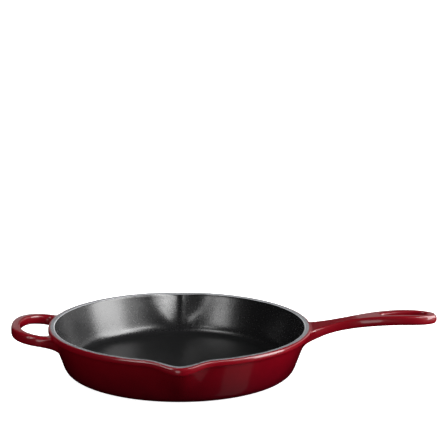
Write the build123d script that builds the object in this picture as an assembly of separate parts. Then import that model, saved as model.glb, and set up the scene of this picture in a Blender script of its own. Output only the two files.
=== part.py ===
"""Enamelled cast iron skillet with a long handle, a helper loop and two pouring spouts.

The pan is one iron casting. It is given here region by region (floor, wall, long handle, helper
handle), each a closed solid that meets its neighbour face to face, and the vitreous enamel that
covers it is given as thin solids of its own. Millimetres, +Z up, +X along the long handle. The
origin is on the pan's axis, in the plane of the foot ring that stands on the hob.
"""

from build123d import *
import math
import os

# Enamel
ENAMEL = 0.35  # fired thickness of each coat

# Pan: sizes over the enamel
RIM_HEIGHT = 46.5  # flat top of the rim above the hob
BAND_RADIUS = 133.0  # thick band round the outside of the rim
BAND_HEIGHT = 6.0
BAND_ROUND = 1.6  # rounding of the band's two outer edges
RIM_WIDTH = 5.0  # flat top of the rim, from the cavity to the band's rounding
WALL_TOP_RADIUS = 129.8  # outside of the wall where it goes under the band
WALL_SLOPE = math.radians(20.0)  # flare of the outside, from vertical
CORNER_RADIUS = 11.0  # outside, from the wall into the base
CAVITY_SLOPE = math.radians(17.5)
CAVITY_CORNER_RADIUS = 13.0
FLOOR_THICKNESS = 4.8
FLOOR_SPLIT_RADIUS = 97.0  # where the floor plate's region ends and the wall's begins

# Foot ring: the base is recessed inside it
FOOT_INNER_RADIUS = 88.0
FOOT_HEIGHT = 0.7

# Pouring spouts, at +Y and -Y
SPOUT_BULGE = 10.2  # how far the lip stands out beyond the round rim
SPOUT_HALF_ANGLE = 14.1  # half the spout's width at the rim, in degrees round the axis
SPOUT_ROOT_ANGLE = 3.3  # the same at the floor, where the channel runs out
SPOUT_DROP = 3.3  # how far the lip lies below the rim
SPOUT_BAND_DROP = 5.7  # the same for the band's lower edge
SPOUT_HALF_WIDTH = 32.0
SPOUT_LEVELS = (0.0, 0.2, 0.4, 0.6, 0.8, 1.0, 1.25)  # shares of the wall's height, for the loft

CUT = 40.0  # how far the cutting bodies reach past the rim

# Long handle: outlines from above and from the side, as (distance from the axis, half width or
# height). They start inside the wall.
HANDLE_HALF_PLAN = (
    (112.0, 29.0),
    (132.0, 18.4),
    (148.0, 12.0),
    (171.0, 8.7),
    (200.0, 12.2),
    (229.0, 15.2),
    (244.0, 13.3),
    (253.0, 9.4),
)
HANDLE_TIP_X = 261.0
HANDLE_TOP = (
    (112.0, 43.8),
    (132.0, 44.3),
    (150.0, 47.7),
    (171.0, 52.3),
    (198.0, 56.4),
    (229.0, 58.0),
    (265.0, 56.4),
)
HANDLE_UNDERSIDE = (
    (112.0, 17.0),
    (132.0, 31.8),
    (147.0, 37.8),
    (168.0, 42.3),
    (198.0, 46.5),
    (229.0, 48.5),
    (265.0, 47.4),
)
HANDLE_TOP_ROUND = 2.6
HANDLE_UNDER_ROUND = 3.4

# Hanging hole: a teardrop, wide towards the handle's tip, with bowed sides
HOLE_WIDE_X = 243.0
HOLE_WIDE_RADIUS = 7.2
HOLE_NARROW_X = 209.0
HOLE_NARROW_RADIUS = 3.5
HOLE_SIDE_RADIUS = 120.0
HOLE_ROUND = 1.4

# Helper handle: a loop opposite the long handle. Seen from above, each of its two outlines has a
# bowed far side, two round corners and straight legs.
LOOP_OUTER = {"reach": 170.0, "half_width": 45.5, "end_radius": 80.0, "corner_radius": 27.0}
LOOP_INNER = {"reach": 161.0, "half_width": 36.0, "end_radius": 60.0, "corner_radius": 24.0}
LOOP_ROOT = 112.0  # distance from the axis where its legs start, inside the wall
LOOP_TOP = ((112.0, 42.0), (130.0, 44.0), (150.0, 46.5), (175.0, 48.9))
LOOP_UNDERSIDE = ((112.0, 27.0), (121.0, 30.4), (135.0, 34.0), (150.0, 36.5), (175.0, 40.0))
LOOP_ROUND = 2.6


def spout_outline(z, radius, bulge, half_angle):
    """Plan outline at height z: a circle that swells into a spout at +Y and at -Y, all in arcs.

    Each half of a spout is a pair of tangent arcs, one hollow and one round, from the circle to
    the lip, so the outline stays smooth. With no bulge both arcs are the circle's own.
    """
    turn = math.radians(half_angle)
    start = Vector(radius * math.sin(turn), radius * math.cos(turn))
    start_way = Vector(-math.cos(turn), math.sin(turn))
    lip = Vector(0, radius + bulge)
    lip_way = Vector(-1, 0)
    chord = lip - start
    ways = start_way + lip_way
    spread = 2 * (1 - start_way.dot(lip_way))
    reach = (-chord.dot(ways) + math.sqrt(chord.dot(ways) ** 2 + spread * chord.dot(chord))) / spread
    joint = (start + lip + (start_way - lip_way) * reach) * 0.5

    def at(point, side, end):
        return (side * point.X, end * point.Y, z)

    edges = []
    for end in (1, -1):
        for side in (1, -1):
            way = (side * start_way.X, end * start_way.Y, 0)
            edges.append(TangentArc(at(start, side, end), at(joint, side, end), tangent=way))
            edges.append(TangentArc(at(lip, side, end), at(joint, side, end), tangent=(side, 0, 0)))
    for side in (1, -1):
        edges.append(ThreePointArc(at(start, side, 1), (side * radius, 0, z), at(start, side, -1)))
    return Wire(edges)


def flared_body(low_z, low_radius, slope):
    """Solid inside a flared wall with its two spouts, from low_z to a little above the rim."""
    height = RIM_HEIGHT - low_z
    wires = []
    for share in SPOUT_LEVELS:
        opened = math.sin(min(share, 1.0) * math.pi / 2)
        half_angle = SPOUT_ROOT_ANGLE + (SPOUT_HALF_ANGLE - SPOUT_ROOT_ANGLE) * opened
        radius = low_radius + height * share * math.tan(slope)
        wires.append(spout_outline(low_z + height * share, radius, SPOUT_BULGE * share, half_angle))
    return Solid.make_loft(wires)


def bowl(base_z, wall_radius, wall_z, slope, corner):
    """Solid of a flared bowl: a flat base, a round corner and a straight wall with spouts.

    wall_radius is the wall's radius at height wall_z. The corner is revolved, and ends where it
    is tangent to the wall, which is lofted because of the spouts.
    """
    tangent_z = base_z + corner * (1 - math.sin(slope))
    tangent_radius = wall_radius - (wall_z - tangent_z) * math.tan(slope)
    centre_radius = tangent_radius - corner * math.cos(slope)
    middle = (slope + math.pi / 2) / 2
    middle_radius = centre_radius + corner * math.cos(middle)
    middle_z = base_z + corner * (1 - math.sin(middle))
    profile = Wire(
        [
            Line((0, 0, base_z), (centre_radius, 0, base_z)),
            ThreePointArc(
                (centre_radius, 0, base_z), (middle_radius, 0, middle_z), (tangent_radius, 0, tangent_z)
            ),
            Line((tangent_radius, 0, tangent_z), (0, 0, tangent_z)),
            Line((0, 0, tangent_z), (0, 0, base_z)),
        ]
    )
    lower = revolve(Face(profile), Axis.Z)
    return lower + flared_body(tangent_z, tangent_radius, slope)


def space_above(height, drop):
    """Everything above a level that dips by drop over the two spouts."""
    half = SPOUT_HALF_WIDTH
    reach = BAND_RADIUS + CUT
    top = RIM_HEIGHT + CUT
    flat = (1, 0, 0)
    dip = Spline([(-half, 0, height), (0, 0, height - drop), (half, 0, height)], tangents=[flat, flat, flat])
    outline = Wire(
        [
            Line((-reach, 0, height), (-half, 0, height)),
            dip,
            Line((half, 0, height), (reach, 0, height)),
            Line((reach, 0, height), (reach, 0, top)),
            Line((reach, 0, top), (-reach, 0, top)),
            Line((-reach, 0, top), (-reach, 0, height)),
        ]
    )
    return Pos(0, reach, 0) * extrude(Face(outline), 2 * reach, dir=(0, -1, 0))


def rim_plug(inset):
    """Upright plug with the band's plan outline, drawn in by inset."""
    outline = Face(spout_outline(RIM_HEIGHT - CUT / 2, BAND_RADIUS, SPOUT_BULGE, SPOUT_HALF_ANGLE))
    if inset:
        outline = offset(outline, amount=-inset)
    return extrude(outline, CUT, dir=(0, 0, 1))


def rim_band(inset):
    """The thick band round the rim, with its rounded edges. The cavity is cut from it later."""
    top = space_above(RIM_HEIGHT - inset, SPOUT_DROP)
    above_bottom = space_above(RIM_HEIGHT - BAND_HEIGHT + inset, SPOUT_BAND_DROP)
    band = (rim_plug(inset) - top) & above_bottom
    outer_edges = [edge for edge in band.edges() if abs(edge.tangent_at(0.5).Z) < 0.9]
    return fillet(outer_edges, BAND_ROUND - inset)


def pan_outside(inset):
    """Solid inside the pan's outer skin: inset is 0 over the enamel and ENAMEL at the iron."""
    wall_radius = WALL_TOP_RADIUS - inset / math.cos(WALL_SLOPE)
    body = bowl(inset, wall_radius, RIM_HEIGHT - BAND_HEIGHT, WALL_SLOPE, CORNER_RADIUS - inset)
    body -= space_above(RIM_HEIGHT - inset, SPOUT_DROP)
    recess = Pos(0, 0, inset) * extrude(Circle(FOOT_INNER_RADIUS + inset), FOOT_HEIGHT)
    return body + rim_band(inset) - recess


def pan_cavity(inset):
    """Solid of the space in the pan: inset is 0 inside the enamel and ENAMEL at the iron."""
    rim_radius = BAND_RADIUS - BAND_ROUND - RIM_WIDTH
    return bowl(
        FLOOR_THICKNESS - inset,
        rim_radius + inset / math.cos(CAVITY_SLOPE),
        RIM_HEIGHT,
        CAVITY_SLOPE,
        CAVITY_CORNER_RADIUS + inset,
    )


def side_profile(top, underside, inset, way):
    """Solid between two curves seen from the side: way is 1 towards the handle, -1 the loop."""
    top_points = [(way * x, 0, z - inset) for x, z in top]
    under_points = [(way * x, 0, z + inset) for x, z in underside]
    outline = Wire(
        [
            Spline(top_points),
            Line(top_points[-1], under_points[-1]),
            Spline(under_points),
            Line(under_points[0], top_points[0]),
        ]
    )
    return Pos(0, BAND_RADIUS, 0) * extrude(Face(outline), 2 * BAND_RADIUS, dir=(0, -1, 0))


def upright(face):
    """Upright solid with the plan of a face, tall enough to pass through either handle."""
    return extrude(face, RIM_HEIGHT + CUT, dir=(0, 0, 1))


def long_edges(bar, top):
    """Edges round a bar's upper or lower face, without those at its cut root."""
    root = min(abs(vertex.X) for vertex in bar.vertices())
    wanted = 1 if top else -1
    edges = []
    for face in bar.faces():
        if face.normal_at().Z * wanted > 0.5:
            edges += [edge for edge in face.edges() if abs(edge.center().X) > root + 0.01]
    return edges


def handle_plan(inset):
    """Face of the long handle's outline from above: both sides, and the root's cut."""
    half = [(x, width - inset) for x, width in HANDLE_HALF_PLAN] + [(HANDLE_TIP_X - inset, 0)]
    (root_x, root_width), (next_x, next_width) = half[:2]
    sides = []
    for side in (1, -1):
        points = [(x, side * width, 0) for x, width in half]
        start_way = (next_x - root_x, side * (next_width - root_width), 0)
        sides.append(Spline(points, tangents=[start_way, (0, -side, 0)]))
    root = Line((root_x, -root_width, 0), (root_x, root_width, 0))
    return Face(Wire(sides + [root]))


def teardrop(grow):
    """Face of the hanging hole: two circles, joined by bowed sides that touch them both."""
    wide = HOLE_WIDE_RADIUS + grow
    narrow = HOLE_NARROW_RADIUS + grow
    side = HOLE_SIDE_RADIUS + grow
    length = HOLE_WIDE_X - HOLE_NARROW_X
    # A side's centre lies side - wide from the wide circle's centre, side - narrow from the other's.
    along = ((side - narrow) ** 2 - (side - wide) ** 2 + length**2) / (2 * length)
    centre = Vector(HOLE_NARROW_X + along, -math.sqrt((side - narrow) ** 2 - along**2))
    touches = []
    for circle_x in (HOLE_WIDE_X, HOLE_NARROW_X):
        touches.append(centre + (Vector(circle_x, 0) - centre).normalized() * side)
    wide_touch, narrow_touch = touches
    crown = centre + Vector(0, side)
    edges = [
        ThreePointArc(
            (wide_touch.X, wide_touch.Y), (HOLE_WIDE_X + wide, 0), (wide_touch.X, -wide_touch.Y)
        ),
        ThreePointArc(
            (narrow_touch.X, narrow_touch.Y), (HOLE_NARROW_X - narrow, 0), (narrow_touch.X, -narrow_touch.Y)
        ),
    ]
    for end in (1, -1):
        edges.append(
            ThreePointArc(
                (wide_touch.X, end * wide_touch.Y),
                (crown.X, end * crown.Y),
                (narrow_touch.X, end * narrow_touch.Y),
            )
        )
    return Face(Wire(edges))


def in_hole(edge):
    """Whether an edge of the long handle belongs to its hanging hole."""
    near_x = HOLE_NARROW_X - 2 * HOLE_NARROW_RADIUS
    far_x = HOLE_WIDE_X + 2 * HOLE_WIDE_RADIUS
    reach = HOLE_WIDE_RADIUS + ENAMEL
    ends = [edge.position_at(0), edge.position_at(1)]
    return all(near_x < end.X < far_x and abs(end.Y) < reach for end in ends)


def long_handle(inset):
    """The long handle, from inside the wall to its tip, with the hanging hole."""
    bar = upright(handle_plan(inset)) & side_profile(HANDLE_TOP, HANDLE_UNDERSIDE, inset, 1)
    bar = fillet(long_edges(bar, True), HANDLE_TOP_ROUND - inset)
    bar = fillet(long_edges(bar, False), HANDLE_UNDER_ROUND - inset)
    bar -= upright(teardrop(inset))
    hole_edges = [edge for edge in bar.edges() if in_hole(edge) and abs(edge.tangent_at(0.5).Z) < 0.5]
    return fillet(hole_edges, HOLE_ROUND - inset)


def loop_plan(outline, grow):
    """Face inside one outline of the helper loop, grown by grow, back to the legs' cut roots."""
    reach = outline["reach"] + grow
    half_width = outline["half_width"] + grow
    end_radius = outline["end_radius"] + grow
    corner = outline["corner_radius"] + grow
    end_centre = Vector(end_radius - reach, 0)
    inward = end_radius - corner
    corner_centre = end_centre + Vector(
        -math.sqrt(inward**2 - (half_width - corner) ** 2), half_width - corner
    )
    touch = corner_centre + (corner_centre - end_centre).normalized() * corner
    turn = math.atan2(touch.Y - corner_centre.Y, corner_centre.X - touch.X)
    middle = (turn + math.pi / 2) / 2
    on_corner = corner_centre + Vector(-math.cos(middle), math.sin(middle)) * corner
    edges = [
        ThreePointArc((touch.X, touch.Y), (-reach, 0), (touch.X, -touch.Y)),
        Line((-LOOP_ROOT, -half_width), (-LOOP_ROOT, half_width)),
    ]
    for side in (1, -1):
        top_of_corner = (corner_centre.X, side * half_width)
        edges.append(
            ThreePointArc(
                (touch.X, side * touch.Y), (on_corner.X, side * on_corner.Y), top_of_corner
            )
        )
        edges.append(Line(top_of_corner, (-LOOP_ROOT, side * half_width)))
    return Face(Wire(edges))


def helper_loop(inset):
    """The helper handle, with both legs' roots inside the wall."""
    plan = loop_plan(LOOP_OUTER, -inset) - loop_plan(LOOP_INNER, inset)
    bar = upright(plan) & side_profile(LOOP_TOP, LOOP_UNDERSIDE, inset, -1)
    edges = long_edges(bar, True) + long_edges(bar, False)
    return fillet(edges, LOOP_ROUND - inset)


def skillet():
    """Every node's solid, by name."""
    over, under = pan_outside(0), pan_outside(ENAMEL)
    cavity, iron_cavity = pan_cavity(0), pan_cavity(ENAMEL)
    handle_over, handle_iron = long_handle(0), long_handle(ENAMEL)
    loop_over, loop_iron = helper_loop(0), helper_loop(ENAMEL)

    pan_iron = under - iron_cavity
    floor_disc = extrude(Circle(FLOOR_SPLIT_RADIUS), FLOOR_THICKNESS)
    coat = over - under - iron_cavity
    rim_top = rim_plug(BAND_ROUND) & space_above(RIM_HEIGHT - BAND_HEIGHT / 2, SPOUT_DROP)
    return {
        "floor_casting": pan_iron & floor_disc,
        "wall_casting": pan_iron - floor_disc,
        "handle_casting": handle_iron - under,
        "helper_handle_casting": loop_iron - under,
        "base_enamel": coat & floor_disc,
        "wall_enamel": coat - floor_disc - rim_top - handle_iron - loop_iron,
        "rim_enamel": coat & rim_top,
        "interior_enamel": (iron_cavity - cavity) - space_above(RIM_HEIGHT, SPOUT_DROP),
        "handle_enamel": handle_over - handle_iron - over,
        "helper_handle_enamel": loop_over - loop_iron - over,
    }


os.makedirs("parts", exist_ok=True)
for node, shape in skillet().items():
    print(node, shape.is_valid, len(shape.solids()), round(shape.volume), len(shape.faces()))
    export_step(shape, f"parts/{node}.step")
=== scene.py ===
"""Enamelled cast iron skillet: the iron casting and its coats of enamel, lit as in a studio."""

import math

import bmesh
import bpy
from mathutils import Matrix, Vector


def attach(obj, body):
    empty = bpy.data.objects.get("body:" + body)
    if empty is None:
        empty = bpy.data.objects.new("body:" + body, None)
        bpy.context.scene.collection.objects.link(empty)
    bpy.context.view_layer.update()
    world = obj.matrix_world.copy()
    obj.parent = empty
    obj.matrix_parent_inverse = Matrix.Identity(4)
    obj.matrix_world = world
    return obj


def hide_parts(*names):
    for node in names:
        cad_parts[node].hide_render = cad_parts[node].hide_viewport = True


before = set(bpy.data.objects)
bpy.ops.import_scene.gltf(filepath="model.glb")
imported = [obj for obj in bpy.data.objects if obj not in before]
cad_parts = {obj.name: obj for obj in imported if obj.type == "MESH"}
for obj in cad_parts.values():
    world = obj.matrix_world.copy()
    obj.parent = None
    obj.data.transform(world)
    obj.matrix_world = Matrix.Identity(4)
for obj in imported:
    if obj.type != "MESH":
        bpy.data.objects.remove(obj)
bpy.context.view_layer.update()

for leftover in ("Cube", "Light", "Camera"):
    if leftover in bpy.data.objects:
        bpy.data.objects.remove(bpy.data.objects[leftover])

MM = 0.001  # the object's sizes below are in millimetres, and are turned to metres where they are used

# Pan, over the enamel
SEGMENTS = 128  # round the whole pan; half of it is modelled, and mirrored across the handles
STEP = 360 / SEGMENTS  # degrees
RIM_HEIGHT = 46.5
BAND_BOTTOM = 40.5
WALL_START = 7.2  # height where the outside wall leaves the base corner
CAVITY_START = 13.9  # height where the inside wall leaves the floor's corner
WALL_FLARE = 0.364  # outward for each unit up, outside
CAVITY_FLARE = 0.315  # and inside
ENAMEL = 0.35  # thickness of a coat
ENAMEL_GAP = 0.05  # between the iron and the coats, so that their faces don't lie in each other
SMOOTHNESS = 2  # levels of subdivision
CREASE = 50  # degrees; edges sharper than this stay sharp

# Spout at each end of Y
SPOUT_BULGE = 10.2
SPOUT_HALF_ANGLE = 14.1  # at the rim
SPOUT_ROOT_ANGLE = 3.3  # at the spout's lower end
SPOUT_DROP = 3.3  # of the rim
SPOUT_BAND_DROP = 5.7  # of the band's lower edge
SPOUT_DROP_REACH = 33.0
# How soon the bulge fills out above its lower end: 1 is evenly, less is sooner
WALL_FULLNESS = 0.8
CAVITY_FULLNESS = 0.6
# Inside, most of the bulge has straight flanks that meet in a crease
STRAIGHT_SHARE = 0.7
STRAIGHT_REACH = 1.04

# The skin's section: rings of (radius, height), from the middle of the base, up the outside, over
# the rim and down to the middle of the floor
BASE_RINGS = [(12, 0.7), (50, 0.7), (84, 0.7), (87.4, 0.7), (88.8, 0.0), (93, 0.0), (100, 0.0)]
CORNER_RINGS = [(105.5, 0.0), (110.5, 0.2), (114.6, 2.2), (117.2, 5.4)]
WALL_RINGS = [(119.6, 12), (122.6, 20.5), (125.7, 29), (127.3, 33.5), (128.7, 37.4), (129.5, 39.7)]
BAND_RINGS = [(129.9, 40.5), (132.3, 40.6), (133.05, 41.6), (133.05, 43.6), (132.85, 45.4), (132.2, 46.2)]
RIM_RINGS = [(130.8, 46.45), (129, 46.52), (127.5, 46.5)]
CAVITY_RINGS = [
    (126.5, 46.05),
    (125.85, 45.1),
    (125.0, 42),
    (122.3, 33.5),
    (118.9, 22.5),
    (116.4, 14.5),
    (114.4, 9.6),
    (110.6, 6.0),
    (105.6, 4.7),
    (99, 4.8),
    (80, 4.8),
    (45, 4.8),
    (12, 4.8),
]
ALL_RINGS = BASE_RINGS + CORNER_RINGS + WALL_RINGS + BAND_RINGS + RIM_RINGS + CAVITY_RINGS

# A cone inside the wall's thickness, which parts the outside from the cavity
WALL_MIDDLE_RADIUS = 125.7
WALL_MIDDLE_HEIGHT = 40
WALL_MIDDLE_FLARE = 0.34

# Where each coat lies
FOOT_RADIUS = 100  # the base coat ends here
FLOOR_BOTTOM = 4.5  # the cavity's faces are above it
GREY_BOTTOM = 46.1
GREY_INNER_RADIUS = 126.3
GREY_OUTER_RADIUS = 131.1

# Rows of the skin that both handles grow from, and how those rows are shared out up a bar
ROOT_LOW, ROOT_HIGH = 29, 43.6
ROW_SHARES = [0, 0.07, 0.24, 0.41, 0.59, 0.76, 0.93, 1]
# How far each row draws in at a bar's sides: round below, then leaning in to a tighter top edge
HANDLE_ROW_INSETS = [2.7, 0.8, 0.2, 0, 0.15, 0.45, 0.9, 2.0]
LOOP_ROW_INSETS = [1.9, 0.3, 0, 0, 0, 0.15, 0.45, 1.7]

# Long handle: sections of (distance from the axis, half width, top, underside)
HANDLE_COLUMNS = 3
HANDLE_ROOT_RADIUS = 130
HANDLE_SECTIONS = [
    (137.5, 15.6, 45.3, 34.0),
    (146, 12.6, 47.0, 37.6),
    (158, 9.9, 49.6, 40.6),
    (171, 8.7, 52.4, 42.9),
    (185, 9.8, 54.9, 45.0),
    (197, 11.9, 56.5, 46.5),
    (206, 13.0, 57.2, 47.3),
    (215, 14.2, 57.8, 48.0),
    (226, 15.3, 58.2, 48.4),
    (236, 15.1, 58.2, 48.4),
    (244, 13.7, 58.0, 48.2),
    (250, 11.3, 57.8, 48.1),
    (255.5, 8.3, 57.5, 48.1),
    (259.4, 5.0, 57.1, 48.3),
]
# The tip is the last section brought forward, all but its edges above, below and at the side
HANDLE_TIP = 261.2
TIP_EDGE = 1.0
TIP_SIDE_SHARE = 0.8
# Hanging hole: half width at each of the sections that it passes
HOLE_HALF_WIDTHS = {206: 2.6, 215: 4.9, 226: 6.3, 236: 7.2, 244: 7.0, 250: 4.4}
HOLE_ROUND_END = 1.6  # how far each end stands out past its section
HOLE_COLUMN = 3  # the faces to cut out have their middles nearer the mirror plane than this
HOLE_MARGIN = 0.1  # beyond the outline, when it is chosen
HOLE_CUTS = 2  # rings of faces down the hole's wall

# Helper loop: its bar's middle line has straight legs, two round corners and a bowed far side
LOOP_COLUMNS = (5, 7)  # steps round from the loop's middle
LOOP_START = 130  # from the axis
LOOP_LENGTH = 40
LOOP_UNDERSIDE = (33.4, 39.6)  # heights at the loop's start and at its far side
LOOP_TOP = (44.0, 48.7)
LOOP_SIDE_RISE = 0.3  # how much a place's distance from the mirror plane counts towards its height
# Sections of (x, y, degrees turned from a leg, width), from the wall to the loop's middle
LOOP_SECTIONS = [
    (-134.5, 40.8, 0, 9.5),
    (-139.0, 41.0, 2, 9.7),
    (-147.6, 39.3, 23, 10.9),
    (-155.9, 33.6, 46, 11.2),
    (-161.5, 25.2, 67, 10.2),
    (-164.3, 15.5, 78, 9.4),
    (-165.5, 7.0, 85, 9.1),
    (-165.7, 0, 90, 9.0),
]

MERGE_DISTANCE = 0.001  # vertices that are nearer to each other than this become one
ON_SECTION = 0.01  # how near a vertex is to the section that it belongs to


def colour(code):
    """Turns an sRGB hex colour into the linear values that shaders work in."""
    parts = [int(code[start : start + 2], 16) / 255 for start in (1, 3, 5)]
    linear = [part / 12.92 if part <= 0.04045 else ((part + 0.055) / 1.055) ** 2.4 for part in parts]
    return (*linear, 1)


def add_node(tree, kind, settings=None, **inputs):
    """Adds a node, sets its settings, and fills its inputs with values or links.

    An input's name has _ for a space; a number after n, as in n2, picks an input by place.
    """
    node = tree.nodes.new(kind)
    for setting, value in (settings or {}).items():
        setattr(node, setting, value)
    for name, value in inputs.items():
        key = int(name[1:]) if name[0] == "n" and name[1:].isdigit() else name.replace("_", " ")
        if isinstance(value, bpy.types.NodeSocket):
            tree.links.new(value, node.inputs[key])
        else:
            node.inputs[key].default_value = value
    return node


def start_material(name):
    """A new material's node tree and its empty principled shader, with the place in millimetres."""
    material = bpy.data.materials.new(name)
    material.use_nodes = True
    tree = material.node_tree
    shader = tree.nodes["Principled BSDF"]
    metres = add_node(tree, "ShaderNodeTexCoord").outputs["Object"]
    place = add_node(tree, "ShaderNodeMapping", Vector=metres, Scale=(1 / MM, 1 / MM, 1 / MM))
    return material, tree, shader, place.outputs["Vector"]


def red_enamel():
    """Transparent red glass enamel, sprayed and fired over the casting.

    It is deep red with a hard gloss, and painted shade darkens it towards the base, standing in for the
    shade that falls on the lower wall. The glass has a faint orange peel from the firing, and the sand
    grain of the casting under it breaks up wide reflections.
    """
    cloud_size, orange_peel_size, sand_grain_size = 14, 5, 1.1
    # Painted shade: the red is darkest at the first height and full at the second, standing in for the shade
    # on the lower wall
    painted_shade_darkest_height, painted_shade_end_height = 10, 48
    cloud_height = 12  # how far the clouds shift the painted shade up and down the wall
    relief = 0.05
    material, tree, shader, place = start_material("glossy_red_vitreous_enamel")
    clouds = add_node(tree, "ShaderNodeTexNoise", Vector=place, Scale=1 / cloud_size, Detail=3)
    height = add_node(tree, "ShaderNodeSeparateXYZ", Vector=place).outputs["Z"]
    level = add_node(
        tree,
        "ShaderNodeMath",
        {"operation": "MULTIPLY_ADD"},
        n0=clouds.outputs["Fac"],
        n1=cloud_height,
        n2=height,
    )
    share = add_node(
        tree,
        "ShaderNodeMapRange",
        Value=level.outputs["Value"],
        From_Min=painted_shade_darkest_height,
        From_Max=painted_shade_end_height,
    )
    # The ramp's dark end is painted shade towards the base; its light end is the enamel's own red
    tone = add_node(tree, "ShaderNodeValToRGB", Fac=share.outputs["Result"])
    tone.color_ramp.elements[0].color = colour("#4a000b")
    tone.color_ramp.elements[1].color = colour("#7a0112")
    tree.links.new(tone.outputs["Color"], shader.inputs["Base Color"])
    shader.inputs["Roughness"].default_value = 0.3
    shader.inputs["IOR"].default_value = 1.5
    shader.inputs["Specular IOR Level"].default_value = 0.3
    shader.inputs["Coat Weight"].default_value = 1.0
    shader.inputs["Coat Roughness"].default_value = 0.05
    shader.inputs["Coat IOR"].default_value = 1.5
    for size, detail, normal in ((sand_grain_size, 2, "Normal"), (orange_peel_size, 1, "Coat Normal")):
        waves = add_node(tree, "ShaderNodeTexNoise", Vector=place, Scale=1 / size, Detail=detail)
        bumps = add_node(
            tree, "ShaderNodeBump", Height=waves.outputs["Fac"], Strength=1, Distance=relief * MM
        )
        tree.links.new(bumps.outputs["Normal"], shader.inputs[normal])
    return material


def black_enamel():
    """Satin black enamel of the cooking surface, fired with a fine grain so that oil holds to it.

    The grain spreads a light into a wide soft glow. The flat floor is a little duller than the wall.
    """
    # The real grain is some 0.3 mm across, and is drawn coarser than that so that it shows
    grain_size, sheen_size = 1.4, 1.6
    wall_height, floor_height = 9, 5
    relief = 0.06
    material, tree, shader, place = start_material("satin_black_vitreous_enamel")
    shader.inputs["Base Color"].default_value = colour("#161617")
    shader.inputs["IOR"].default_value = 1.5
    shader.inputs["Specular IOR Level"].default_value = 0.85
    patches = add_node(tree, "ShaderNodeTexNoise", Vector=place, Scale=1 / sheen_size, Detail=2)
    sheen = add_node(
        tree,
        "ShaderNodeMapRange",
        Value=patches.outputs["Fac"],
        From_Min=0.3,
        From_Max=0.7,
        To_Min=0.22,
        To_Max=0.28,
    )
    height = add_node(tree, "ShaderNodeSeparateXYZ", Vector=place).outputs["Z"]
    floor_dullness = add_node(
        tree,
        "ShaderNodeMapRange",
        Value=height,
        From_Min=wall_height,
        From_Max=floor_height,
        To_Min=0,
        To_Max=0.12,
    )
    roughness = add_node(
        tree,
        "ShaderNodeMath",
        {"operation": "ADD"},
        n0=sheen.outputs["Result"],
        n1=floor_dullness.outputs["Result"],
    )
    tree.links.new(roughness.outputs["Value"], shader.inputs["Roughness"])
    grain = add_node(tree, "ShaderNodeTexNoise", Vector=place, Scale=1 / grain_size, Detail=1)
    bumps = add_node(tree, "ShaderNodeBump", Height=grain.outputs["Fac"], Strength=1, Distance=relief * MM)
    tree.links.new(bumps.outputs["Normal"], shader.inputs["Normal"])
    return material


def grey_enamel():
    """Bare grey ground coat on the rim, wiped free of the red and black before firing.

    It is a speckled mid grey, and lighter along its thin inner edge.
    """
    speckle_size, grain_size = 2.2, 1.2
    relief = 0.06
    material, tree, shader, place = start_material("grey_ground_coat_enamel")
    speckle = add_node(
        tree, "ShaderNodeTexNoise", Vector=place, Scale=1 / speckle_size, Detail=3, Roughness=0.7
    )
    body = add_node(tree, "ShaderNodeValToRGB", Fac=speckle.outputs["Fac"])
    body.color_ramp.elements[0].position = 0.35
    body.color_ramp.elements[0].color = colour("#606164")
    body.color_ramp.elements[1].position = 0.65
    body.color_ramp.elements[1].color = colour("#8a8c90")
    # Large on the flat top, and negative where the surface faces the pan's middle, at the inner edge
    normal = add_node(tree, "ShaderNodeNewGeometry").outputs["Normal"]
    lean = add_node(tree, "ShaderNodeVectorMath", {"operation": "DOT_PRODUCT"}, n0=normal, n1=place)
    edge = add_node(tree, "ShaderNodeMapRange", Value=lean.outputs["Value"], From_Min=25, From_Max=-25)
    tone = add_node(
        tree,
        "ShaderNodeMix",
        {"data_type": "RGBA"},
        Factor=edge.outputs["Result"],
        n6=body.outputs["Color"],
        n7=colour("#c6c7ca"),
    )
    tree.links.new(tone.outputs[2], shader.inputs["Base Color"])
    shader.inputs["IOR"].default_value = 1.5
    shader.inputs["Roughness"].default_value = 0.3
    grain = add_node(tree, "ShaderNodeTexNoise", Vector=place, Scale=1 / grain_size, Detail=2)
    bumps = add_node(tree, "ShaderNodeBump", Height=grain.outputs["Fac"], Strength=1, Distance=relief * MM)
    tree.links.new(bumps.outputs["Normal"], shader.inputs["Normal"])
    return material


def cast_iron():
    """Grey iron as it leaves a sand mould, dull and grainy; the coats hide all of it."""
    sand_grain_size = 1.1
    relief = 0.1
    material, tree, shader, place = start_material("sand_cast_iron")
    shader.inputs["Base Color"].default_value = colour("#3c3a39")
    shader.inputs["Metallic"].default_value = 1
    shader.inputs["Roughness"].default_value = 0.6
    grain = add_node(tree, "ShaderNodeTexNoise", Vector=place, Scale=1 / sand_grain_size, Detail=2)
    bumps = add_node(tree, "ShaderNodeBump", Height=grain.outputs["Fac"], Strength=1, Distance=relief * MM)
    tree.links.new(bumps.outputs["Normal"], shader.inputs["Normal"])
    return material


def floor_paint():
    """White matt studio floor, lit from within so that it stays plain white."""
    material, _, shader, _ = start_material("white_studio_floor")
    shader.inputs["Base Color"].default_value = colour("#f4f4f4")
    shader.inputs["Roughness"].default_value = 0.9
    shader.inputs["Emission Color"].default_value = colour("#ffffff")
    shader.inputs["Emission Strength"].default_value = 0.9
    return material


RED_ENAMEL = red_enamel()
BLACK_ENAMEL = black_enamel()
GREY_ENAMEL = grey_enamel()
CAST_IRON = cast_iron()
FLOOR = floor_paint()

# Slots of the skin while it is modelled, one for each coat; the outside's is the first, slot 0
SKIN_FINISHES = (RED_ENAMEL, GREY_ENAMEL, BLACK_ENAMEL, RED_ENAMEL)
RIM_SLOT, INSIDE_SLOT, BASE_SLOT = 1, 2, 3


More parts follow.
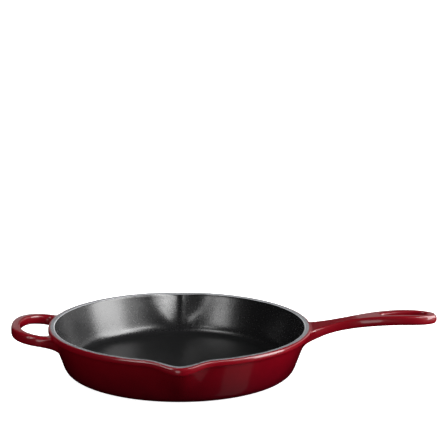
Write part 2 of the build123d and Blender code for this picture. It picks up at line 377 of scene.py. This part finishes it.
def pick_up(piece):
    """Makes a piece the only one that is selected, and the active one."""
    for other in list(bpy.context.selected_objects):
        other.select_set(False)
    bpy.context.view_layer.objects.active = piece
    piece.select_set(True)


def open_for_editing(piece):
    """Picks a piece up and enters edit mode."""
    pick_up(piece)
    bpy.ops.object.mode_set(mode="EDIT")


def close_editing():
    """Leaves edit mode."""
    bpy.ops.object.mode_set(mode="OBJECT")


def choose(piece, wanted, faces=False):
    """Selects, in edit mode, only the vertices or faces whose place in millimetres is wanted."""
    bpy.ops.mesh.select_mode(type="FACE" if faces else "VERT")
    bpy.ops.mesh.select_all(action="DESELECT")
    mesh = bmesh.from_edit_mesh(piece.data)
    for part in mesh.faces if faces else mesh.verts:
        place = part.calc_center_median() if faces else part.co
        if not part.hide and wanted(place / MM):
            part.select_set(True)
    mesh.select_flush_mode()
    bmesh.update_edit_mesh(piece.data)


def choose_listed(piece, numbers):
    """Selects, in edit mode, the vertices with these numbers."""
    bpy.ops.mesh.select_mode(type="VERT")
    bpy.ops.mesh.select_all(action="DESELECT")
    mesh = bmesh.from_edit_mesh(piece.data)
    mesh.verts.ensure_lookup_table()
    for number in numbers:
        mesh.verts[number].select_set(True)
    mesh.select_flush_mode()
    bmesh.update_edit_mesh(piece.data)


def move(x=0.0, y=0.0, z=0.0, reach=None, falloff="SMOOTH"):
    """Moves what is selected, and with a reach pulls what is round it along too."""
    pull = {}
    if reach:
        pull = {
            "use_proportional_edit": True,
            "proportional_edit_falloff": falloff,
            "proportional_size": reach * MM,
        }
    bpy.ops.transform.translate(value=(x * MM, y * MM, z * MM), **pull)


def scale(x=1.0, y=1.0, z=1.0, about=(0, 0, 0)):
    """Scales what is selected about a point."""
    bpy.ops.transform.resize(value=(x, y, z), center_override=[size * MM for size in about])


def turn(degrees, about):
    """Turns what is selected about an upright line through a point."""
    bpy.ops.transform.rotate(value=math.radians(degrees), orient_axis="Z", center_override=about * MM)


def extrude():
    """Extrudes what is selected, and leaves the new part where it is."""
    bpy.ops.mesh.extrude_region_move(TRANSFORM_OT_translate={"value": (0, 0, 0)})


def radius_of(place):
    """A place's distance from the pan's axis."""
    return math.hypot(place.x, place.y)


def near(value, target, slack=0.05):
    """Whether a value is within the slack of a target."""
    return abs(value - target) < slack


def between(share, start, end):
    """The value at a share of the way from a start to an end."""
    return start + (end - start) * share


def outside_wall(place):
    """Whether a place is on the outside of the wall and not in the cavity."""
    return radius_of(place) > WALL_MIDDLE_RADIUS - (WALL_MIDDLE_HEIGHT - place.z) * WALL_MIDDLE_FLARE


def turn_rings(piece):
    """Draws each ring of the skin from the one before it, and closes both ends at the axis."""
    bpy.ops.mesh.select_all(action="SELECT")
    radius, height = ALL_RINGS[0]
    for next_radius, next_height in ALL_RINGS[1:]:
        extrude()
        scale(next_radius / radius, next_radius / radius)
        move(z=next_height - height)
        radius, height = next_radius, next_height
    for end_radius, end_height in (ALL_RINGS[0], ALL_RINGS[-1]):
        choose(piece, lambda place: near(radius_of(place), end_radius) and near(place.z, end_height))
        extrude()
        scale(0, 0)
        bpy.ops.mesh.remove_doubles(threshold=MERGE_DISTANCE * MM)


def spout_move(radius, height):
    """How far a ring's vertex at the spout's middle goes outwards and down, and the pull's reach."""
    ring = (radius, height)
    if ring in BAND_RINGS[1:] + RIM_RINGS[:1]:
        share = 1.0
        drop = between((height - BAND_BOTTOM) / (RIM_HEIGHT - BAND_BOTTOM), SPOUT_BAND_DROP, SPOUT_DROP)
        outward = SPOUT_BULGE
    else:
        if ring in CORNER_RINGS + WALL_RINGS + BAND_RINGS[:1]:
            start, flare, fullness = WALL_START, WALL_FLARE, WALL_FULLNESS
            full_drop, full_height = SPOUT_BAND_DROP, BAND_BOTTOM
        else:
            start, flare, fullness = CAVITY_START, CAVITY_FLARE, CAVITY_FULLNESS
            full_drop, full_height = SPOUT_DROP, RIM_HEIGHT
        drop = full_drop * max(0, (height - start) / (full_height - start)) ** 2
        share = max(0, (height - drop - start) / (RIM_HEIGHT - start))
        outward = SPOUT_BULGE * share**fullness - drop * flare
    half_angle = between(math.sin(share * math.pi / 2), SPOUT_ROOT_ANGLE, SPOUT_HALF_ANGLE)
    reach = 2 * radius * math.sin(math.radians(half_angle / 2))
    return outward, drop, reach


def pull_spout(piece):
    """Pulls every ring that the spout reaches out and down at +Y, each with the others hidden."""
    for radius, height in ALL_RINGS:
        outward, drop, reach = spout_move(radius, height)
        if outward <= ON_SECTION:
            continue
        choose(piece, lambda place: near(radius_of(place), radius) and near(place.z, height))
        bpy.ops.mesh.hide(unselected=True)
        choose(piece, lambda place: near(place.x, 0) and place.y > 0)
        if (radius, height) in CAVITY_RINGS:
            move(y=outward * (1 - STRAIGHT_SHARE), reach=reach)
            move(y=outward * STRAIGHT_SHARE, reach=reach * STRAIGHT_REACH, falloff="LINEAR")
        else:
            move(y=outward, reach=reach)
        move(z=-drop, reach=SPOUT_DROP_REACH)
        bpy.ops.mesh.reveal(select=False)


def selected_grid(piece, columns):
    """Numbers of the selected vertices, row by row from the lowest, each row from the least Y."""
    mesh = bmesh.from_edit_mesh(piece.data)
    chosen = sorted((vertex for vertex in mesh.verts if vertex.select), key=lambda vertex: vertex.co.z)
    width = columns + 1
    rows = [chosen[start : start + width] for start in range(0, len(chosen), width)]
    return [[vertex.index for vertex in sorted(row, key=lambda vertex: vertex.co.y)] for row in rows]


def shape_section(piece, grid, x, low, high, widths, row_insets):
    """Stands a grown patch up at x: rows between low and high, columns at widths, sides crowned."""
    everything = [number for row in grid for number in row]
    choose_listed(piece, everything)
    scale(x=0, about=(x, 0, 0))
    for row, share in zip(grid, ROW_SHARES):
        choose_listed(piece, row)
        scale(z=0, about=(0, 0, between(share, low, high)))
    for column, width in enumerate(widths):
        choose_listed(piece, [row[column] for row in grid])
        scale(y=0, about=(0, width, 0))
    for row, inset in zip(grid, row_insets):
        choose_listed(piece, [row[-1]])
        move(y=-inset)
        if widths[0] > 0:
            choose_listed(piece, [row[0]])
            move(y=inset)
    choose_listed(piece, everything)


def remove_plane_faces(piece):
    """Deletes the faces that growing has left in the mirror plane."""
    choose(piece, lambda place: near(place.y, 0, MERGE_DISTANCE), faces=True)
    bpy.ops.mesh.delete(type="FACE")


def grow_handle(piece):
    """Grows the long handle from the wall, section by section, and rounds its tip."""
    side = math.sin(math.radians(HANDLE_COLUMNS * STEP)) * HANDLE_ROOT_RADIUS
    choose(
        piece,
        lambda place: outside_wall(place)
        and place.x > 0
        and place.y < side
        and ROOT_LOW < place.z < ROOT_HIGH,
        faces=True,
    )
    extrude()
    x, width, high, low = HANDLE_SECTIONS[0]
    grid = selected_grid(piece, HANDLE_COLUMNS)
    columns = [width * column / HANDLE_COLUMNS for column in range(HANDLE_COLUMNS + 1)]
    shape_section(piece, grid, x, low, high, columns, HANDLE_ROW_INSETS)
    for next_x, next_width, next_high, next_low in HANDLE_SECTIONS[1:]:
        extrude()
        middle, next_middle = (high + low) / 2, (next_high + next_low) / 2
        scale(y=next_width / width, z=(next_high - next_low) / (high - low), about=(0, 0, middle))
        move(x=next_x - x, z=next_middle - middle)
        x, width, high, low = next_x, next_width, next_high, next_low
    choose(
        piece,
        lambda place: near(place.x, x, ON_SECTION)
        and place.y < width * TIP_SIDE_SHARE
        and low + TIP_EDGE < place.z < high - TIP_EDGE,
    )
    move(x=HANDLE_TIP - x)
    remove_plane_faces(piece)


def open_hanging_hole(piece):
    """Cuts the hole's outline out of the handle's top and underside, and walls it between them."""
    ends = (min(HOLE_HALF_WIDTHS), max(HOLE_HALF_WIDTHS))
    choose(piece, lambda place: ends[0] < place.x < ends[1] and place.y < HOLE_COLUMN, faces=True)
    bpy.ops.mesh.delete(type="FACE")
    for x, half_width, _, _ in HANDLE_SECTIONS:
        if x in HOLE_HALF_WIDTHS:
            column = half_width / HANDLE_COLUMNS
            choose(
                piece,
                lambda place: near(place.x, x, ON_SECTION) and near(place.y, column, 2 * ON_SECTION),
            )
            scale(y=0, about=(0, HOLE_HALF_WIDTHS[x], 0))
    for end, outward in zip(ends, (-HOLE_ROUND_END, HOLE_ROUND_END)):
        choose(piece, lambda place: near(place.x, end, ON_SECTION) and near(place.y, 0, ON_SECTION))
        move(x=outward)
    border = max(HOLE_HALF_WIDTHS.values()) + HOLE_MARGIN
    first, last = ends[0] - HOLE_ROUND_END - HOLE_MARGIN, ends[1] + HOLE_ROUND_END + HOLE_MARGIN
    choose(piece, lambda place: first < place.x < last and place.y < border)
    bpy.ops.mesh.bridge_edge_loops(number_cuts=HOLE_CUTS, interpolation="LINEAR")


def loop_height(distance):
    """Underside and top of the helper loop's bar at a distance from the axis."""
    share = (distance - LOOP_START) / LOOP_LENGTH
    return between(share, *LOOP_UNDERSIDE), between(share, *LOOP_TOP)


def grow_loop(piece):
    """Grows one leg of the helper loop from the wall and takes it round to the mirror plane."""
    first, last = (step * STEP for step in LOOP_COLUMNS)
    choose(
        piece,
        lambda place: outside_wall(place)
        and place.x < 0
        and first < math.degrees(math.atan2(place.y, -place.x)) < last
        and ROOT_LOW < place.z < ROOT_HIGH,
        faces=True,
    )
    extrude()
    grid = selected_grid(piece, LOOP_COLUMNS[1] - LOOP_COLUMNS[0])
    x, y, turned, width = LOOP_SECTIONS[0]
    low, high = loop_height(-x)
    shape_section(piece, grid, x, low, high, (y - width / 2, y, y + width / 2), LOOP_ROW_INSETS)
    at = Vector((x, y, (low + high) / 2))
    thickness = high - low
    for x, y, next_turned, next_width in LOOP_SECTIONS[1:]:
        low, high = loop_height(math.hypot(x, y * LOOP_SIDE_RISE))
        goal = Vector((x, y, (low + high) / 2))
        extrude()
        # Straight first, so that the bar's width is along Y, then turned
        turn(turned, at)
        scale(y=next_width / width, z=(high - low) / thickness, about=at)
        turn(-next_turned, at)
        move(*(goal - at))
        at, turned, width, thickness = goal, next_turned, next_width, high - low
    scale(y=0)
    remove_plane_faces(piece)


def paint_regions(piece):
    """Gives the cavity, the rim's flat top and the base inside the foot their own slots."""
    regions = (
        (INSIDE_SLOT, lambda place: place.z > FLOOR_BOTTOM and not outside_wall(place)),
        (
            RIM_SLOT,
            lambda place: place.z > GREY_BOTTOM and GREY_INNER_RADIUS < radius_of(place) < GREY_OUTER_RADIUS,
        ),
        (BASE_SLOT, lambda place: place.z < 1 and radius_of(place) < FOOT_RADIUS),
    )
    for slot, wanted in regions:
        choose(piece, wanted, faces=True)
        piece.active_material_index = slot
        bpy.ops.object.material_slot_assign()


def use_modifier(piece, kind, **settings):
    """Adds a modifier to a piece and applies it."""
    bpy.context.view_layer.objects.active = piece
    bpy.ops.object.modifier_add(type=kind)
    modifier = piece.modifiers[-1]
    for setting, value in settings.items():
        setattr(modifier, setting, value)
    bpy.ops.object.modifier_apply(modifier=modifier.name)


def model_skin():
    """The pan's whole surface as one closed and smooth skin, with a slot for each coat's region."""
    radius, height = ALL_RINGS[0]
    bpy.ops.mesh.primitive_circle_add(
        vertices=SEGMENTS, radius=radius * MM, fill_type="NOTHING", location=(0, 0, height * MM)
    )
    skin = bpy.context.object
    for finish in SKIN_FINISHES:
        skin.data.materials.append(finish)
    bpy.ops.object.transform_apply(location=True, rotation=False, scale=False)
    open_for_editing(skin)
    choose(skin, lambda place: place.y < -ON_SECTION)
    bpy.ops.mesh.delete(type="VERT")
    turn_rings(skin)
    paint_regions(skin)
    pull_spout(skin)
    grow_handle(skin)
    open_hanging_hole(skin)
    grow_loop(skin)
    close_editing()
    use_modifier(skin, "MIRROR", use_axis=(False, True, False), merge_threshold=MERGE_DISTANCE * MM)
    open_for_editing(skin)
    bpy.ops.mesh.select_all(action="SELECT")
    bpy.ops.mesh.remove_doubles(threshold=MERGE_DISTANCE * MM)
    bpy.ops.mesh.normals_make_consistent(inside=False)
    close_editing()
    use_modifier(skin, "SUBSURF", levels=SMOOTHNESS, render_levels=SMOOTHNESS)
    return skin


def cast_core(skin):
    """The iron: a copy of the skin, drawn in to lie under the coats."""
    core = skin.copy()
    core.data = skin.data.copy()
    core.name = "iron_casting"
    bpy.context.scene.collection.objects.link(core)
    use_modifier(core, "DISPLACE", strength=-(ENAMEL + ENAMEL_GAP) * MM, mid_level=0)
    core.data.materials.clear()
    core.data.materials.append(CAST_IRON)
    return core


def peel_coat(skin, slot, name):
    """Parts one region of the skin off as a coat of its own."""
    open_for_editing(skin)
    bpy.ops.mesh.select_mode(type="FACE")
    bpy.ops.mesh.select_all(action="DESELECT")
    mesh = bmesh.from_edit_mesh(skin.data)
    for face in mesh.faces:
        face.select_set(face.material_index == slot)
    bmesh.update_edit_mesh(skin.data)
    bpy.ops.mesh.separate(type="SELECTED")
    close_editing()
    coat = next(piece for piece in bpy.context.selected_objects if piece != skin)
    coat.name = name


def thicken_coat(coat, finish):
    """Gives a coat its one finish, its thickness under the surface, and smooth shading."""
    pick_up(coat)
    coat.data.materials.clear()
    coat.data.materials.append(finish)
    use_modifier(coat, "SOLIDIFY", thickness=ENAMEL * MM, offset=-1)
    bpy.ops.object.shade_smooth_by_angle(angle=math.radians(CREASE))


skin = model_skin()
core = cast_core(skin)
peel_coat(skin, RIM_SLOT, "rim_coat")
peel_coat(skin, INSIDE_SLOT, "inside_coat")
peel_coat(skin, BASE_SLOT, "base_coat")
skin.name = "outside_coat"

for name, finish in (
    ("rim_coat", GREY_ENAMEL),
    ("inside_coat", BLACK_ENAMEL),
    ("base_coat", RED_ENAMEL),
    ("outside_coat", RED_ENAMEL),
):
    thicken_coat(bpy.data.objects[name], finish)

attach(core, "root")
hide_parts("floor_casting", "wall_casting", "handle_casting", "helper_handle_casting")
for name, slot, nodes in (
    ("outside_coat", "red_enamel", ("wall_enamel", "handle_enamel", "helper_handle_enamel")),
    ("base_coat", "red_enamel", ("base_enamel",)),
    ("rim_coat", "grey_enamel", ("rim_enamel",)),
    ("inside_coat", "black_enamel", ("interior_enamel",)),
):
    coat = bpy.data.objects[name]
    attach(coat, "root")
    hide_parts(*nodes)

# Studio, in metres
FLOOR_SIZE = 30
FLOOR_HEIGHT = -0.0001  # just under the foot, so that the two don't flicker
AIM = (0, 0, 0.02)
LAMP_DISTANCE = 1.6
BACKDROP_DISTANCE = 2.5


def lay_floor():
    """A white floor that only the camera sees, so that it neither mirrors nor tints anything."""
    bpy.ops.mesh.primitive_plane_add(size=FLOOR_SIZE, location=(0, 0, FLOOR_HEIGHT))
    floor = bpy.context.object
    floor.name = "floor"
    floor.data.materials.append(FLOOR)
    floor.visible_glossy = False
    floor.visible_diffuse = False
    floor.visible_shadow = False


def softbox(name, at, width, height, strength, aim=AIM):
    """A soft area light of a size, aimed at a point; strength is its radiance."""
    lamp = bpy.data.lights.new(name, "AREA")
    lamp.shape = "RECTANGLE"
    lamp.size, lamp.size_y = width, height
    lamp.energy = strength * math.pi * width * height
    held = bpy.data.objects.new(name, lamp)
    bpy.context.scene.collection.objects.link(held)
    held.location = at
    held.rotation_euler = (Vector(aim) - Vector(at)).to_track_quat("-Z", "Y").to_euler()
    held.visible_camera = False
    return held


def direction(round_from_back, up, distance=LAMP_DISTANCE):
    """A place at a distance, at degrees clockwise from the back and degrees up."""
    turned, lift = math.radians(round_from_back), math.radians(up)
    flat = distance * math.cos(lift)
    return (flat * math.sin(turned), flat * math.cos(turned), distance * math.sin(lift))


def backdrop_card(name, x, z, width, height, strength):
    """A faint upright card behind the object, which the pan's floor mirrors as a haze."""
    softbox(name, (x, BACKDROP_DISTANCE, z), width, height, strength, aim=(x, 0, z))


def light_studio():
    """Large softboxes right and left, small bright cores in them, and faint cards all round."""
    softbox("right_softbox", direction(101, 24), 1.0, 1.8, 8.0)
    softbox("front_right_softbox", direction(128, 22), 0.5, 0.9, 1.4)
    softbox("right_core", direction(117, 34, 1.5), 0.2, 0.3, 8.0)
    softbox("front_left_softbox", direction(-138, 16), 0.5, 0.32, 7.0)
    softbox("left_core", direction(-146, 35, 1.5), 0.16, 0.25, 9.0)
    softbox("upper_left_softbox", direction(-120, 62), 0.6, 0.4, 4.5)
    softbox("front_low_card", direction(-170, -3), 0.56, 0.34, 2.3)
    backdrop_card("low_back_card", -0.3, 0.25, 1.4, 0.5, 0.4)
    for side in (-0.75, 0.75):
        backdrop_card("high_back_card", side, 0.8, 1.0, 0.6, 0.28)
    softbox("right_back_card", direction(58, 17, 2.0), 1.6, 1.0, 0.8)
    spout_glint = softbox("spout_glint", direction(136, 34), 0.45, 0.3, 8.5)
    spout_glint.visible_diffuse = False
    back_fill = softbox("back_fill", direction(-10, 10, 2.2), 1.6, 0.8, 12.0)
    back_fill.visible_glossy = False
    # Three sizes in one place fade out from the middle, as a lit floor does
    for width in (0.2, 0.4, 0.6):
        card = softbox(f"floor_glow_{width * 100:.0f}", direction(114, -48), width, width, 0.1)
        card.visible_diffuse = False


def light_world():
    """A dim white surround, brighter above than below, that gloss doesn't mirror."""
    world = bpy.data.worlds.new("studio")
    bpy.context.scene.world = world
    world.use_nodes = True
    tree = world.node_tree
    background = tree.nodes["Background"]
    background.inputs["Color"].default_value = (1, 1, 1, 1)
    way = add_node(tree, "ShaderNodeTexCoord").outputs["Generated"]
    up = add_node(tree, "ShaderNodeSeparateXYZ", Vector=way).outputs["Z"]
    glow = add_node(
        tree, "ShaderNodeMapRange", Value=up, From_Min=-0.2, From_Max=0.2, To_Min=0.09, To_Max=0.28
    )
    tree.links.new(glow.outputs["Result"], background.inputs["Strength"])
    world.cycles_visibility.glossy = False


def set_camera():
    """A long lens in front of the object, looking down on it a little."""
    pan, tilt, roll = -1.7912, 11.4747, 0.4943
    camera_data = bpy.data.cameras.new("camera")
    camera = bpy.data.objects.new("camera", camera_data)
    bpy.context.scene.collection.objects.link(camera)
    camera_data.lens = 114.74
    camera_data.sensor_width = 36
    camera.matrix_world = (
        Matrix.Translation((0, -1.4, 0.4343))
        @ Matrix.Rotation(math.radians(pan), 4, "Z")
        @ Matrix.Rotation(math.radians(90 - tilt), 4, "X")
        @ Matrix.Rotation(math.radians(roll), 4, "Z")
    )
    bpy.context.scene.camera = camera
    bpy.context.scene.view_settings.view_transform = "Standard"


lay_floor()
light_studio()
set_camera()
light_world()
